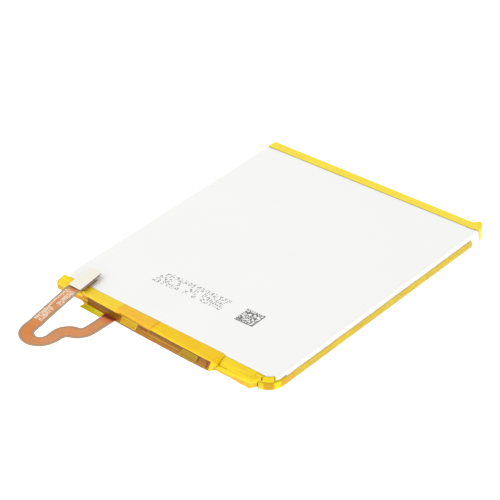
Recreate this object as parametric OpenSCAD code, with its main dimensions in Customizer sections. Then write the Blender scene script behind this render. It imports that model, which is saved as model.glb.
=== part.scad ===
// Pouch battery cell with a taped protection board and a flexible connector tail.
// X is the width, Y the length with the board and tail at -Y, and Z the thickness.

/* [Cell] */
// Width over the side tapes
cell_w = 64; // [63:0.5:65]
// Distance from the middle of the frame to the face of the far tape
far_y = 42.1; // [40:0.1:45]
// Height of the pouch top above the floor
cell_t = 3.6; // [3.6:0.05:3.7]
// Thickness of the laminated pouch film
film_t = 0.12; // [0.1:0.01:0.12]
// Corner radius of the pouch seen from above
corner_r = 3; // [2.5:0.25:3.5]
// Radius of the rounded top edge of the pouch
shoulder_r = 0.8; // [0.6:0.1:0.9]

/* [Electrode stack] */
// Number of cathode sheets
cathodes = 7; // [4:1:7]
// Thickness of a cathode sheet
cathode_t = 0.2; // [0.1:0.01:0.2]
// Thickness of an anode sheet
anode_t = 0.16; // [0.1:0.01:0.16]
// Thickness of a separator sheet
separator_t = 0.03; // [0.02:0.005:0.03]

/* [Tapes] */
// Thickness of the polyimide tapes
tape_t = 0.07; // [0.05:0.01:0.07]
// Height of the side tapes
side_tape_h = 2.35; // [2.2:0.05:2.6]
// Width of the far tape on the pouch top
far_tape_w = 3.3; // [2.5:0.1:4]
// Reach of the tapes under the pouch
under_w = 3.5; // [3:0.25:4]

/* [Protection board] */
// Length of the board
board_l = 37; // [36.5:0.1:37]
// Depth of the board
board_d = 1.9; // [1.8:0.05:1.9]
// Thickness of the board
board_t = 0.8; // [0.6:0.05:0.8]
// Width of each cell tab
tab_w = 5.6; // [4:0.2:5.6]
// Thickness of each cell tab
tab_t = 0.08; // [0.06:0.01:0.08]

/* [Connector] */
// Width of the flexible tail
flex_w = 3.6; // [3:0.1:3.6]
// Thickness of the flexible tail
flex_t = 0.14; // [0.1:0.01:0.14]
// Length of the stiffener plate
plate_l = 8.7; // [8.5:0.1:9]
// Width of the stiffener plate
plate_w = 3.8; // [3.6:0.1:4]
// Length of the connector body
conn_l = 6.2; // [6.2:0.1:6.6]
// Width of the connector body
conn_w = 2.2; // [1.8:0.1:2.4]
// Contacts in each row
contacts = 9; // [5:1:9]

/* [Hidden] */
$fn = 64;
hw = cell_w / 2;
gap = 0.03;

// Heights of the films, of the folded side seals and of the first electrode
z_low = 0.1;
z_seam = z_low + film_t;
seal_top = side_tape_h - 0.2;
stack_z = z_seam + 0.06;

// Faces of the drawn cup, the centres of its corners and its slanting front wall
cup_x = hw - 0.38;
cup_far = far_y - 0.04 - tape_t;
cen_x = cup_x - corner_r;
front_l = -36.55 + corner_r;
front_r = -38.95 + corner_r;
far_c = cup_far - corner_r;
cup_pts = [[-cen_x, front_l], [cen_x, front_r], [cen_x, far_c], [-cen_x, far_c]];
seal_y0 = -34.8;
seal_y1 = far_y - 4.2;
panel_y0 = -34.5;

// Terrace in front of the cup, where the two films are sealed together
terrace = [[-29.5, -34], [-29.5, -37.8], [-29.2, -37.95], [26.6, -39.9], [27.2, -39.5], [28.4, -38.5], [28.4, -34]];

// Electrode stack and the foil tails gathered at its front
stack_hx = cup_x - film_t - 0.9;
stack_y0 = -34;
stack_y1 = cup_far - film_t - 0.9;
pitch = cathode_t + anode_t + 2 * separator_t;
weld_y = -35.2;
weld_z = 1.6;

// Frame of the protection board, and the heights of its layers
pcm_x = -4.75;
pcm_y = -38.9;
pcm_a = -3;
foam_z = 0.56;
board_z = 0.9;
part_z = board_z + board_t;
pad_t = 0.1;
spacer_z = 2.65;
spacer_t = 0.72;

// Each tab: place along the board, start behind it, and the cup wall behind it
neg_u = -5.2;
neg_in = 3.46;
neg_wall = 1.3;
pos_u = 12.5;
pos_in = 4.38;
pos_wall = 1.48;

// Frames of the front tapes
cover_x = -4.64;
cover_y = -40.47;
cover_a = -4;
cover_hl = 19.95;
cover_z = 3.43;
edge_y = -39.6;
edge_a = -2.06;

// Route of the middle of the flexible tail
route = [
    [-15.2, -37.8, 0.82], [-15.2, -40.8, 0.85], [-15.1, -44.3, 0.95], [-15.1, -47, 1.05],
    [-15.4, -48.7, 1.1], [-16.5, -49.9, 1.1], [-18, -50.5, 1.15], [-19.1, -51.7, 1.2],
    [-19.5, -53.2, 1.2], [-19.5, -55.4, 1.25], [-20, -57.2, 1.3], [-21.2, -58.4, 1.35],
    [-22.8, -58.8, 1.4], [-24.4, -58.2, 1.5], [-25.5, -57, 1.55], [-26, -55.3, 1.6],
    [-26, -53.5, 1.8], [-26, -51.6, 2.2], [-25.9, -49.6, 2.7], [-25.8, -47.6, 3.2],
    [-25.7, -45.6, 3.7], [-25.6, -43.6, 4.2], [-25.6, -42.2, 4.5], [-25.6, -41, 4.62],
    [-25.7, -39.8, 4.62], [-26.4, -33.2, 4.62]
];

// Frame of the connector end, and the heights of its pieces
head_x = -25.45;
head_y = -40.7;
head_z = 4.7;
head_a = 6.5;
plate_t = 0.2;
conn_z = 3.86;
conn_h = 0.68;
conn_s = 4.1;
pitch_c = 0.55;

// Unit vector, left normal and mitred offset of a bent path
function unit(v) = v / norm(v);
function left(v) = [-v.y, v.x];
function seg_n(p, i) = left(unit(p[i + 1] - p[i]));
function mitre(a, b) = (a + b) / (1 + a * b);
function vert_n(p, i) = i == 0 ? seg_n(p, 0)
    : i == len(p) - 1 ? seg_n(p, i - 1) : mitre(seg_n(p, i - 1), seg_n(p, i));
function other_side(p, t) = [for (i = [len(p) - 1 : -1 : 0]) p[i] + t * vert_n(p, i)];

// A folded strip: the path is its outer face in Y and Z, and x0 to x1 its width
module strip(x0, x1, path, t) {
    translate([x0, 0, 0]) rotate([90, 0, 90]) linear_extrude(x1 - x0)
        polygon(concat(path, other_side(path, t)));
}

module plate_x(x0, x1, outline) {
    translate([x0, 0, 0]) rotate([90, 0, 90]) linear_extrude(x1 - x0) polygon(outline);
}

module block(x0, x1, y0, y1, z0, z1) {
    translate([x0, y0, z0]) cube([x1 - x0, y1 - y0, z1 - z0]);
}

// Half section of a round-cornered body with a round top edge
module edge_profile(r, f, z0, z1) {
    translate([0, z0]) square([r, z1 - f - z0]);
    translate([0, z0]) square([r - f, z1 - z0]);
    translate([r - f, z1 - f]) intersection() {
        circle(r = f);
        square([f, f]);
    }
}

// A body over a convex outline of corner centres, with round corners and top edge
module pillow(pts, r, f, z0, z1) {
    n = len(pts);
    translate([0, 0, z0]) linear_extrude(z1 - z0) polygon(pts);
    for (i = [0 : n - 1]) {
        d = pts[(i + 1) % n] - pts[i];
        l = norm(d);
        translate([pts[i].x, pts[i].y, 0]) {
            rotate_extrude() edge_profile(r, f, z0, z1);
            rotate([0, 0, atan2(d.y, d.x) - 90]) translate([0, l, 0]) rotate([90, 0, 0])
                linear_extrude(l) edge_profile(r, f, z0, z1);
        }
    }
}

// The same outline as a flat plate
module flat_plate(pts, r, z0, z1) {
    n = len(pts);
    translate([0, 0, z0]) linear_extrude(z1 - z0) {
        polygon(pts);
        for (i = [0 : n - 1]) {
            a = pts[i];
            b = pts[(i + 1) % n];
            out = -r * left(unit(b - a));
            translate(a) circle(r = r);
            polygon([a, a + out, b + out, b]);
        }
    }
}

module rounded_plate(x0, x1, y0, y1, r, z0, z1) {
    translate([0, 0, z0]) linear_extrude(z1 - z0) {
        translate([x0 + r, y0]) square([x1 - x0 - 2 * r, y1 - y0]);
        translate([x0, y0 + r]) square([x1 - x0, y1 - y0 - 2 * r]);
        for (x = [x0 + r, x1 - r], y = [y0 + r, y1 - r]) translate([x, y]) circle(r = r);
    }
}

module in_pcm() {
    translate([pcm_x, pcm_y, 0]) rotate([0, 0, pcm_a]) children();
}

module in_cover() {
    translate([cover_x, cover_y, 0]) rotate([0, 0, cover_a]) children();
}

module in_edge() {
    translate([0, edge_y, 0]) rotate([0, 0, edge_a]) children();
}

module in_head() {
    translate([head_x, head_y, 0]) rotate([0, 0, head_a]) children();
}

// Pouch films
module tab_tunnel(u, w, z0, z1) {
    in_pcm() block(u - w / 2, u + w / 2, -0.45, 1.9, z0, z1);
}

module terrace_area(z0, z1) {
    translate([0, 0, z0]) linear_extrude(z1 - z0) polygon(terrace);
}

module pouch_upper_film() {
    color("whitesmoke") difference() {
        union() {
            pillow(cup_pts, corner_r, shoulder_r, z_seam, cell_t);
            terrace_area(z_seam, z_seam + film_t);
            for (u = [neg_u, pos_u]) tab_tunnel(u, tab_w + 1.2, z_seam, 0.52);
            for (s = [-1, 1]) {
                x = s * (cup_x + gap + film_t / 2);
                block(x - film_t / 2, x + film_t / 2, seal_y0, seal_y1, z_seam, seal_top);
                block(s * cup_x - film_t, s * cup_x + film_t, seal_y0, seal_y1, z_seam, z_seam + film_t);
            }
        }
        pillow(cup_pts, corner_r - film_t, shoulder_r - film_t, z_seam - 1, cell_t - film_t);
        for (u = [neg_u, pos_u]) tab_tunnel(u, tab_w + 0.96, z_seam - 1, 0.4);
    }
}

module pouch_lower_film() {
    wing = cup_x + gap + 2 * film_t;
    color("silver") union() {
        difference() {
            union() {
                flat_plate(cup_pts, corner_r, z_low, z_seam);
                block(-wing, wing, seal_y0, seal_y1, z_low, z_seam);
                bottom_panel(0, 0, z_seam);
            }
            bottom_panel(film_t, film_t, 1);
        }
        terrace_area(z_low, z_seam);
        for (s = [-1, 1]) {
            x = s * (wing - film_t / 2);
            block(x - film_t / 2, x + film_t / 2, seal_y0, seal_y1, z_low, seal_top);
        }
    }
}

// The bottom between the tapes, level with their undersides
module bottom_panel(inset, z0, z1) {
    x = hw - under_w - 0.4 - inset;
    rounded_plate(-x, x, panel_y0 + inset, far_y - far_tape_w - 0.4 - inset, 2, z0, z1);
}

// Electrode stack: anode sheets outside, cathode sheets between, separators between all
module sheet(inset, z, t) {
    rounded_plate(-stack_hx + inset, stack_hx - inset, stack_y0 + inset, stack_y1 - inset, 2, z, z + t);
}

function anode_at(i) = stack_z + separator_t + i * pitch;
function cathode_at(i) = anode_at(i) + anode_t + separator_t;

module cathode_sheets() {
    color("dimgray") for (i = [0 : cathodes - 1]) sheet(0.8, cathode_at(i), cathode_t);
}

module anode_sheets() {
    color("#3a2f2a") for (i = [0 : cathodes]) sheet(0.4, anode_at(i), anode_t);
}

module separator_sheets() {
    color("white") {
        for (i = [0 : cathodes]) {
            sheet(0, anode_at(i) - separator_t, separator_t);
            sheet(0, anode_at(i) + anode_t, separator_t);
        }
    }
}

// Bare foil tails of the sheets, brought together and welded in front of the stack
module foil_tails(x, zs, y_edge) {
    translate([x - tab_w / 2 + 0.3, 0, 0]) rotate([90, 0, 90]) linear_extrude(tab_w - 0.6) {
        for (z = zs) {
            polygon([
                [y_edge, z], [y_edge, z + 0.03], [stack_y0 - 0.05, z + 0.03],
                [weld_y + 0.5, weld_z + 0.09], [weld_y + 0.5, weld_z], [stack_y0 - 0.05, z]
            ]);
        }
        translate([weld_y, weld_z]) square([0.55, 0.09]);
    }
}

module cathode_foil_tails() {
    zs = [for (i = [0 : cathodes - 1]) cathode_at(i) + cathode_t / 2 - 0.015];
    color("lightgray") foil_tails(7.73, zs, stack_y0 + 0.8);
}

module anode_foil_tails() {
    zs = [for (i = [0 : cathodes]) anode_at(i) + anode_t / 2 - 0.015];
    color("peru") foil_tails(-9.95, zs, stack_y0 + 0.4);
}

// Tabs: welded inside, out through the terrace, up in front of the board and over it
module tab(u, v_in, v_wall) {
    z = weld_z - 0.01;
    top = part_z + pad_t + 0.02;
    path = [
        [v_in, z], [v_wall + 1, z], [v_wall + 0.5, 0.6], [v_wall + 0.3, 0.35], [-0.8, 0.35],
        [-1.14, 0.78], [-1.14, top - 0.09], [-1.05, top], [0.55, top]
    ];
    in_pcm() strip(u - tab_w / 2, u + tab_w / 2, path, tab_t);
}

module positive_tab() {
    color("gainsboro") tab(pos_u, pos_in, pos_wall);
}

module negative_tab() {
    color("lightsteelblue") tab(neg_u, neg_in, neg_wall);
}

module tab_sealant(u) {
    w = tab_w + 0.8;
    color("ivory") in_pcm() difference() {
        block(u - w / 2, u + w / 2, -0.65, 1.35, 0.235, 0.385);
        block(u - tab_w / 2 - 0.01, u + tab_w / 2 + 0.01, -2, 3, 0.26, 0.36);
    }
}

module positive_tab_sealant() {
    tab_sealant(pos_u);
}

module negative_tab_sealant() {
    tab_sealant(neg_u);
}

// Narrow tapes down the long sides, the right one going round the front corner
module side_strip(y0, y1) {
    block(hw - tape_t, hw, y0, y1, 0, side_tape_h);
    block(hw - under_w, hw, y0, y1, 0, tape_t);
}

module side_tape_right() {
    c = [27.6, -35.9];
    r = hw - c.x;
    color("goldenrod") union() {
        side_strip(c.y, seal_y1 - 4.2);
        intersection() {
            translate([c.x, c.y, 0]) difference() {
                cylinder(r = r, h = side_tape_h);
                translate([0, 0, tape_t]) cylinder(r = r - tape_t, h = side_tape_h);
            }
            block(c.x + 0.4, hw, c.y - r, c.y, 0, side_tape_h);
        }
    }
}

module side_tape_left() {
    color("goldenrod") mirror([1, 0, 0]) side_strip(-34.9, seal_y1 - 4.2);
}

module far_tape() {
    color("gold") intersection() {
        difference() {
            pillow(cup_pts, corner_r + 0.04 + tape_t, shoulder_r + 0.04 + tape_t, 0, cell_t + 0.04 + tape_t);
            pillow(cup_pts, corner_r + 0.04, shoulder_r + 0.04, tape_t, cell_t + 0.04);
        }
        block(-40, 40, far_y - far_tape_w, far_y + 1, -1, 10);
    }
}

// Front tapes: one strip folded over each end of the front edge
module front_tape_right() {
    path = [[1.75, 3.42], [0.9, 3.1], [-0.3, 2.3], [-0.6, 1.8], [-0.6, 0.35], [-0.3, 0], [under_w, 0]];
    color("yellow") difference() {
        in_edge() strip(15.75, 29.6, path, tape_t);
        in_edge() translate([26.3, -2, -0.1]) rotate([0, 35, 0]) cube([6, 7, 6]);
        block(27, 40, -50, -20, -1, 0.5);
    }
}

module front_tape_left() {
    path = [[2.15, 3.42], [1.3, 3.1], [0.25, 2.45], [0, 2.15], [0, 0.6], [0.45, 0], [under_w, 0]];
    color("yellow") in_edge() union() {
        strip(-31.9, -24.7, path, tape_t);
        plate_x(-31.9, -31.8, [[2.15, 3.42], [1.3, 3.1], [0.25, 2.45], [0, 2.15], [0, 0.6], [0.45, 0], [2.15, 0]]);
    }
}

// Tape folded over the whole protection board, open where the tail comes out
module board_cover_tape() {
    path = [
        [4.4, cover_z + tape_t + 0.06], [0.25, cover_z + tape_t], [0, 3.25],
        [0, 0.4], [0.25, 0], [under_w, 0]
    ];
    end = [
        [2.3, 3.46], [0.2, 3.46], [0.03, 3.25], [0.03, 0.4], [0.27, 0.03],
        [0.8, 0.03], [0.8, 0.5], [2.3, 0.5]
    ];
    color("orange") difference() {
        in_cover() {
            strip(-cover_hl, cover_hl, path, tape_t);
            plate_x(-cover_hl, -cover_hl + tape_t, end);
            plate_x(cover_hl - tape_t, cover_hl, end);
        }
        in_cover() translate([-30, 2.03, 3]) rotate([0, 0, 2]) cube([60, 4, 2]);
        block(-17.15, -13.25, -41, -39, 0.68, 1);
    }
}

module root_tape_patch() {
    top = cover_z + tape_t + 0.02 + tape_t;
    path = [[3, top + 0.04], [0.2, top], [-0.09, top - 0.32], [-0.09, 2.7]];
    color("orange") in_cover() strip(-8.85, 2.15, path, tape_t);
}

module tape_flap() {
    path = [[-0.04, 0.75], [-0.1, 0.6], [-0.5, 0.35], [-1.5, 0.22]];
    color("greenyellow") in_cover() strip(-19.7, -12.9, path, -tape_t);
}

// Protection board and what it carries
module board_foam_strip() {
    color("darkslategray") in_pcm() block(-8.2, 18.2, -0.9, 0.9, foam_z, board_z - 0.02);
}

module protection_board() {
    color("darkgreen") in_pcm() difference() {
        block(-board_l / 2, board_l / 2, -board_d / 2, board_d / 2, board_z, part_z);
        for (u = [-17.9, 17.9]) translate([u, 0, 0]) cylinder(r = 0.3, h = 5);
    }
}

module on_board(u, l, w, h) {
    block(u - l / 2, u + l / 2, -w / 2, w / 2, part_z, part_z + h);
}

module nickel_pads() {
    color("silver") in_pcm() for (u = [neg_u, pos_u]) on_board(u, 5.2, 1.4, pad_t);
}

module mosfet_pair() {
    color("#202020") in_pcm() on_board(-0.6, 3, 1.6, 0.8);
}

module protection_ic() {
    color("#202020") in_pcm() on_board(3, 2.2, 1.5, 0.75);
}

module thermal_fuse() {
    color("tan") in_pcm() on_board(6.8, 3.2, 1.5, 0.85);
}

module thermistor() {
    color("#303840") in_pcm() on_board(-9.7, 0.6, 1.2, 0.5);
}

module chip_passives() {
    color("#b08050") in_pcm() {
        for (i = [0 : 5]) on_board(-17 + 1.1 * i, 0.55, 1.05, 0.5);
        on_board(16.7, 0.55, 1.05, 0.5);
    }
}

module board_spacer_pad() {
    color("gray") in_pcm() block(-18.3, 18.3, -0.85, 0.85, spacer_z, spacer_z + spacer_t);
}

// Flexible tail: one flat ribbon swept along the route
function tangent(i) = unit(route[min(i + 1, len(route) - 1)] - route[max(i - 1, 0)]);
function side_of(i) = unit([-tangent(i).y, tangent(i).x, 0]);
function up_of(i) = cross(tangent(i), side_of(i));
function ring(i) = [
    for (c = [[-1, -1], [1, -1], [1, 1], [-1, 1]])
        route[i] + c.x * flex_w / 2 * side_of(i) + c.y * flex_t / 2 * up_of(i)
];

module flex_tail() {
    n = len(route);
    points = [for (i = [0 : n - 1]) each ring(i)];
    sides = [
        for (i = [0 : n - 2], k = [0 : 3])
            let (a = 4 * i + k, b = 4 * i + (k + 1) % 4)
                each [[a, a + 4, b + 4], [a, b + 4, b]]
    ];
    last = 4 * (n - 1);
    color("chocolate") polyhedron(
        points,
        concat([[0, 1, 2, 3]], sides, [[last + 3, last + 2, last + 1, last]]));
}

// Connector end: a stiffener over the tail and a board-to-board connector under it
module stiffener_plate() {
    color("linen") in_head()
        rounded_plate(-plate_w / 2, plate_w / 2, 0, plate_l, 0.5, head_z, head_z + plate_t);
}

module connector_body() {
    hx = conn_w / 2;
    color("#3a3430") in_head() difference() {
        block(-hx, hx, conn_s - conn_l / 2, conn_s + conn_l / 2, conn_z, conn_z + conn_h);
        block(-hx + 0.55, hx - 0.55, conn_s - conn_l / 2 + 0.8, conn_s + conn_l / 2 - 0.8, conn_z - 1, conn_z + 0.4);
    }
}

module connector_contacts() {
    color("gold") in_head() for (s = [-1, 1], i = [0 : contacts - 1]) {
        y = conn_s + (i - (contacts - 1) / 2) * pitch_c;
        x = s * (conn_w / 2 + 0.17);
        block(x - 0.16, x + 0.16, y - 0.12, y + 0.12, conn_z + 0.15, conn_z + conn_h);
    }
}

module connector_clips() {
    color("silver") in_head() for (s = [-1, 1]) {
        y = conn_s + s * (conn_l / 2 + 0.13);
        block(-conn_w / 2, conn_w / 2, y - 0.12, y + 0.12, conn_z + 0.1, conn_z + conn_h);
    }
}

pouch_upper_film();
pouch_lower_film();
cathode_sheets();
anode_sheets();
separator_sheets();
cathode_foil_tails();
anode_foil_tails();
positive_tab();
negative_tab();
positive_tab_sealant();
negative_tab_sealant();
side_tape_right();
side_tape_left();
far_tape();
front_tape_right();
front_tape_left();
board_cover_tape();
root_tape_patch();
tape_flap();
board_foam_strip();
protection_board();
nickel_pads();
mosfet_pair();
protection_ic();
thermal_fuse();
thermistor();
chip_passives();
board_spacer_pad();
flex_tail();
stiffener_plate();
connector_body();
connector_contacts();
connector_clips();
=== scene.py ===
"""Looks of the pouch battery cell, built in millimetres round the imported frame."""

import math
import random

import bmesh
import bpy
from mathutils import Matrix, Vector, noise


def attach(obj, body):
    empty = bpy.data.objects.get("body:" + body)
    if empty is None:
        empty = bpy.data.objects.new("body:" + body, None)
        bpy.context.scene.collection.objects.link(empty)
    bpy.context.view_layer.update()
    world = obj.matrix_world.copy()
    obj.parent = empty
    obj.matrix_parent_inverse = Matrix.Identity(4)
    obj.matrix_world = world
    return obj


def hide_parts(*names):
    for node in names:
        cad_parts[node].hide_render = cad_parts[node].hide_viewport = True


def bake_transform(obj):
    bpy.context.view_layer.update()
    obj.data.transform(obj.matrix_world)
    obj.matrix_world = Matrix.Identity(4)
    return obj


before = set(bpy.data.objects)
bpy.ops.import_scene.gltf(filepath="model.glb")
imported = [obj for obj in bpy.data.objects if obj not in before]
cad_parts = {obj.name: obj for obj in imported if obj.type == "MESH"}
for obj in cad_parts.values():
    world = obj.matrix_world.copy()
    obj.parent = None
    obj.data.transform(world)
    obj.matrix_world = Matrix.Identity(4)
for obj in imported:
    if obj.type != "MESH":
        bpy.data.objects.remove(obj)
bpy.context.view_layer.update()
MM = 0.001


# ---------------- camera, floor and light
CAMERA_TARGET = Vector((-8.79, 2.945, 0)) * MM
CAMERA_AZIMUTH = 38.72
CAMERA_ELEVATION = 32.79
CAMERA_DISTANCE = 629.9 * MM
CAMERA_LENS = 190.5
SKY = 0.86
KEY_POWER = 2.4
FILL_POWER = 0.9
FLOOR_HALF, FLOOR_Z, FLOOR_GLOW = 1.6, -0.02 * MM, 0.85


def aim(thing, target, azimuth, elevation, distance):
    """Puts a camera or light at these angles and this distance from its target, facing it."""
    a, e = math.radians(azimuth), math.radians(elevation)
    back = Vector((math.sin(a) * math.cos(e), -math.cos(a) * math.cos(e), math.sin(e)))
    thing.location = target + back * distance
    thing.rotation_euler = (-back).to_track_quat("-Z", "Y").to_euler()
    bpy.context.scene.collection.objects.link(thing)


def make_camera():
    data = bpy.data.cameras.new("camera")
    data.lens = CAMERA_LENS
    data.sensor_width = 36
    data.clip_start, data.clip_end = 0.01, 20
    camera = bpy.data.objects.new("camera", data)
    aim(camera, CAMERA_TARGET, CAMERA_AZIMUTH, CAMERA_ELEVATION, CAMERA_DISTANCE)
    bpy.context.scene.camera = camera


def area_light(name, azimuth, elevation, distance, size, power):
    """A soft square light aimed at the middle of the cell."""
    data = bpy.data.lights.new(name, "AREA")
    data.size = size
    data.energy = power
    aim(bpy.data.objects.new(name, data), Vector(), azimuth, elevation, distance)


def make_studio():
    """A plain white floor under an even sky and two soft lamps."""
    scene = bpy.context.scene
    scene.view_settings.view_transform = "Standard"
    world = bpy.data.worlds.new("studio")
    world.use_nodes = True
    sky = world.node_tree.nodes["Background"]
    sky.inputs["Color"].default_value = (1, 1, 1, 1)
    sky.inputs["Strength"].default_value = SKY
    scene.world = world
    area_light("key", -62, 52, 0.9, 0.7, KEY_POWER)
    area_light("fill", 100, 40, 1.1, 0.9, FILL_POWER)
    mesh = bpy.data.meshes.new("floor")
    corners = [(x * FLOOR_HALF, y * FLOOR_HALF, FLOOR_Z) for x, y in ((-1, -1), (1, -1), (1, 1), (-1, 1))]
    mesh.from_pydata(corners, [], [(0, 1, 2, 3)])
    floor = bpy.data.objects.new("floor", mesh)
    scene.collection.objects.link(floor)
    white = material("floor_white", (0.9, 0.9, 0.9, 1), roughness=0.9, mottle=(0.3, 0.004))
    glow = white.node_tree.nodes["Principled BSDF"].inputs
    glow["Emission Color"].default_value = (1, 1, 1, 1)
    glow["Emission Strength"].default_value = FLOOR_GLOW
    floor.data.materials.append(white)


# ---------------- materials
# How bright white comes out under these lights on sloping, level and upright faces, and the
# white sheen that lies over every colour
WHITE_LEVEL = 1.12
TOP_LEVEL = 1.02
FACE_LEVEL = 1.34
SHEEN = 0.045


def paint(red, green, blue, level=WHITE_LEVEL):
    """The colour that shows as this 0-255 screen colour under the studio's light."""
    def linear(c):
        c /= 255
        return c / 12.92 if c <= 0.04045 else ((c + 0.055) / 1.055) ** 2.4
    return tuple(min(1.0, max(0.002, linear(c) - SHEEN) / level) for c in (red, green, blue)) + (1,)


def face_paint(red, green, blue):
    """The same for an upright face."""
    return paint(red, green, blue, FACE_LEVEL)


class Graph:
    """A short way to write a material's nodes."""

    def __init__(self, name):
        self.material = bpy.data.materials.new(name)
        self.material.use_nodes = True
        self.tree = self.material.node_tree
        self.shader = self.tree.nodes["Principled BSDF"]

    def add(self, kind, inputs=None, out=0, **settings):
        """Adds a node, fills its inputs with values or links, and returns one of its outputs."""
        node = self.tree.nodes.new("ShaderNode" + kind)
        for key, value in settings.items():
            setattr(node, key, value)
        for key, value in (inputs or {}).items():
            if isinstance(value, bpy.types.NodeSocket):
                self.tree.links.new(value, node.inputs[key])
            else:
                node.inputs[key].default_value = value
        return node.outputs[out]

    def math(self, operation, a, b=0.0):
        return self.add("Math", {0: a, 1: b}, operation=operation)

    def mix(self, share, a, b):
        return self.add("MixRGB", {"Fac": share, "Color1": a, "Color2": b})

    def ramp(self, value, low, high, to_low=0.0, to_high=1.0):
        return self.add("MapRange", {"Value": value, "From Min": low, "From Max": high,
                                     "To Min": to_low, "To Max": to_high},
                        interpolation_type="SMOOTHSTEP")

    def band(self, value, low, high, soft):
        """1 between low and high and 0 outside, with soft ends."""
        rise = self.ramp(value, low - soft, low + soft)
        fall = self.ramp(value, high - soft, high + soft, 1.0, 0.0)
        return self.math("MULTIPLY", rise, fall)

    def place_mm(self, scale=(1, 1, 1)):
        """The place in the frame in millimetres, stretched by scale."""
        coordinates = self.add("TexCoord", out=3)
        stretch = tuple(s / MM for s in scale)
        return self.add("Mapping", {"Vector": coordinates, "Scale": stretch})

    def strip_mm(self, scale=(1, 1, 1)):
        """Along and across a strip in millimetres, from its UV map."""
        return self.add("Mapping", {"Vector": self.add("UVMap", uv_map="strip"), "Scale": scale})

    def noise(self, vector, scale, detail=3, roughness=0.55):
        return self.add("TexNoise", {"Vector": vector, "Scale": scale, "Detail": detail,
                                     "Roughness": roughness})

    def bump(self, height, depth_mm, strength=1.0, under=None):
        inputs = {"Height": height, "Distance": depth_mm * MM, "Strength": strength}
        if under is not None:
            inputs["Normal"] = under
        return self.add("Bump", inputs)

    def set(self, **sockets):
        """Sets or links sockets of the shader, by names with _ for a space."""
        for key, value in sockets.items():
            socket = self.shader.inputs[key.replace("_", " ")]
            if isinstance(value, bpy.types.NodeSocket):
                self.tree.links.new(value, socket)
            else:
                socket.default_value = value
        return self.material


def shade(colour, factor):
    """A colour made darker or lighter."""
    return tuple(min(1.0, c * factor) for c in colour[:3]) + (1,)


def material(name, colour, roughness=0.5, metallic=0.0, mottle=(1.0, 0.05), grain=(8, 0.004),
             stretch=(1, 1, 1), coat=0.0):
    """A plain solid with mottled colour and finish and a fine grain. mottle is its scale per
    millimetre and its strength, and grain its scale and its depth in millimetres."""
    g = Graph(name)
    place = g.place_mm(stretch)
    blotch = g.noise(place, mottle[0])
    colour = g.mix(blotch, shade(colour, 1 - mottle[1] * 2), shade(colour, 1 + mottle[1] * 2))
    fine = g.noise(place, grain[0], 2)
    return g.set(Base_Color=colour, Metallic=metallic, Coat_Weight=coat,
                 Roughness=g.ramp(fine, 0.3, 0.7, roughness * 0.85, min(1, roughness * 1.15)),
                 Normal=g.bump(fine, grain[1]))


def two_tone(name, first, second, scale):
    """Print that drifts between two colours."""
    g = Graph(name)
    place = g.place_mm()
    share = g.ramp(g.noise(place, scale), 0.42, 0.58)
    grain = g.noise(place, 9, 2)
    return g.set(Base_Color=g.mix(share, first, second), Normal=g.bump(grain, 0.003),
                 Roughness=g.ramp(grain, 0.3, 0.7, 0.42, 0.58))


def film_skin(name, colour, roughness):
    """Laminated pouch film: a matte nylon face with faint clouds and a fine pressed grain."""
    g = Graph(name)
    place = g.place_mm()
    clouds = g.noise(place, 0.06, 4)
    marks = g.noise(g.place_mm((1, 0.25, 1)), 0.9, 5, 0.7)
    tone = g.mix(clouds, shade(colour, 0.985), shade(colour, 1.012))
    tone = g.mix(g.ramp(marks, 0.62, 0.8, 0, 0.25), tone, shade(colour, 0.95))
    grain = g.noise(place, 14, 2)
    dents = g.noise(place, 0.35, 3)
    normal = g.bump(grain, 0.0015, 0.6, g.bump(dents, 0.012, 0.5))
    return g.set(Base_Color=tone, Normal=normal,
                 Roughness=g.ramp(clouds, 0.3, 0.7, roughness - 0.05, roughness + 0.05))


def tape_skin(name, light, dark, rim, streak=1.0, patches=(), roughness=0.3, rim_mm=0.16,
              gloss=0.28):
    """Thin glossy tape: streaks along the strip, cut edges in a colour of their own (on the windows a
    painted highlight) and coloured patches, some where something shows through and some painted
    shade and painted highlight along folds. A patch is (u0, u1, w0, w1, softness, strength, colour),
    in millimetres along the strip and across it from its crease."""
    g = Graph(name)
    strip = g.strip_mm()
    streaks = g.noise(g.strip_mm((0.12, 1.6, 1)), 1.4, 5, 0.65)
    cloud = g.noise(strip, 0.35, 3)
    share = g.math("ADD", g.math("MULTIPLY", streaks, streak), 0.5 - streak / 2)
    share = g.math("ADD", g.math("MULTIPLY", share, 0.7), g.math("MULTIPLY", cloud, 0.3))
    share = g.ramp(share, 0.32, 0.68)
    colour = g.mix(share, dark, light)
    if patches:
        wobble = g.math("MULTIPLY", g.math("SUBTRACT", g.noise(strip, 1.3, 2), 0.5), 0.35)
        split = g.add("SeparateXYZ", {"Vector": strip}).node
        along = g.math("ADD", split.outputs["X"], wobble)
        across = g.math("ADD", split.outputs["Y"], g.math("MULTIPLY", wobble, 0.35))
        for u0, u1, w0, w1, soft, strength, tint in patches:
            here = g.math("MULTIPLY", g.band(along, u0, u1, soft), g.band(across, w0, w1, soft * 0.5))
            grainy = g.math("MULTIPLY", here, g.ramp(streaks, 0.2, 0.6, strength * 0.7, strength))
            colour = g.mix(grainy, colour, tint)
    edge = g.add("Attribute", attribute_name="rim", out=2)
    colour = g.mix(g.ramp(edge, 0.02, rim_mm, 0.85, 0.0), colour, rim)
    creases = g.noise(g.strip_mm((0.5, 2.2, 1)), 1.6, 4, 0.6)
    fine = g.noise(strip, 9, 2)
    normal = g.bump(fine, 0.002, 0.5, g.bump(creases, 0.035, 0.7))
    return g.set(Base_Color=colour, Normal=normal, Coat_Weight=0.06, Coat_Roughness=0.12,
                 Specular_IOR_Level=gloss,
                 Roughness=g.ramp(cloud, 0.3, 0.7, roughness - 0.06, roughness + 0.1))


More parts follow.
